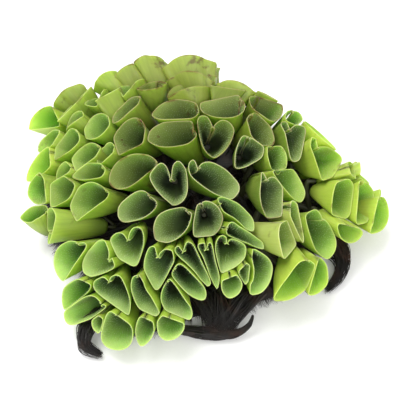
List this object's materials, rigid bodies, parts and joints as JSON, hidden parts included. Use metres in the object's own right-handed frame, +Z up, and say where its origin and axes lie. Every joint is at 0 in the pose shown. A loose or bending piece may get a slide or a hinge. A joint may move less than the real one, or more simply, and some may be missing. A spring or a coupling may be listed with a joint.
{
  "type": "salvinia plant clump",
  "caption": "Dome-shaped clump of floating fern with heart-mouthed cupped leaves in rows on creeping stems above a dark mat of feathery root-like leaves.",
  "frame": {"origin": "on the floor, under the middle of the clump's bounding box", "axes": "+Z up from the surface it rests on, +X to the right and +Y away from the camera in the picture"},
  "size_m": [0.143, 0.1352, 0.0393],
  "materials": {
    "leaf": "soft matt green leaf, pale along the rim",
    "stem": "matt olive green stem",
    "root": "near-black brown wet fibres"
  },
  "bodies": {
    "root": {"back_leaf_1": "leaf", "back_leaf_2": "leaf", "back_leaf_3": "leaf", "corner_leaf_1": "leaf", "corner_leaf_2": "leaf", "corner_leaf_3": "leaf", "corner_leaf_4": "leaf", "corner_leaf_5": "leaf", "front_leaf_1": "leaf", "front_leaf_10": "leaf", "front_leaf_11": "leaf", "front_leaf_12": "leaf", "front_leaf_13": "leaf", "front_leaf_14": "leaf", "front_leaf_15": "leaf", "front_leaf_2": "leaf", "front_leaf_3": "leaf", "front_leaf_4": "leaf", "front_leaf_5": "leaf", "front_leaf_6": "leaf", "front_leaf_7": "leaf", "front_leaf_8": "leaf", "front_leaf_9": "leaf", "left_leaf_1": "leaf", "left_leaf_10": "leaf", "left_leaf_11": "leaf", "left_leaf_12": "leaf", "left_leaf_2": "leaf", "left_leaf_3": "leaf", "left_leaf_4": "leaf", "left_leaf_5": "leaf", "left_leaf_6": "leaf", "left_leaf_7": "leaf", "left_leaf_8": "leaf", "left_leaf_9": "leaf", "middle_leaf_1": "leaf", "middle_leaf_10": "leaf", "middle_leaf_11": "leaf", "middle_leaf_2": "leaf", "middle_leaf_3": "leaf", "middle_leaf_4": "leaf", "middle_leaf_5": "leaf", "middle_leaf_6": "leaf", "middle_leaf_7": "leaf", "middle_leaf_8": "leaf", "middle_leaf_9": "leaf", "right_leaf_1": "leaf", "right_leaf_2": "leaf", "right_leaf_3": "leaf", "right_leaf_4": "leaf", "root_mat": "root", "root_tassel_front": "root", "root_tassel_right": "root", "root_tuft_left": "root", "stem_back": "stem", "stem_corner": "stem", "stem_front": "stem", "stem_left": "stem", "stem_middle": "stem", "stem_right": "stem"}
  },
  "joints": []
}
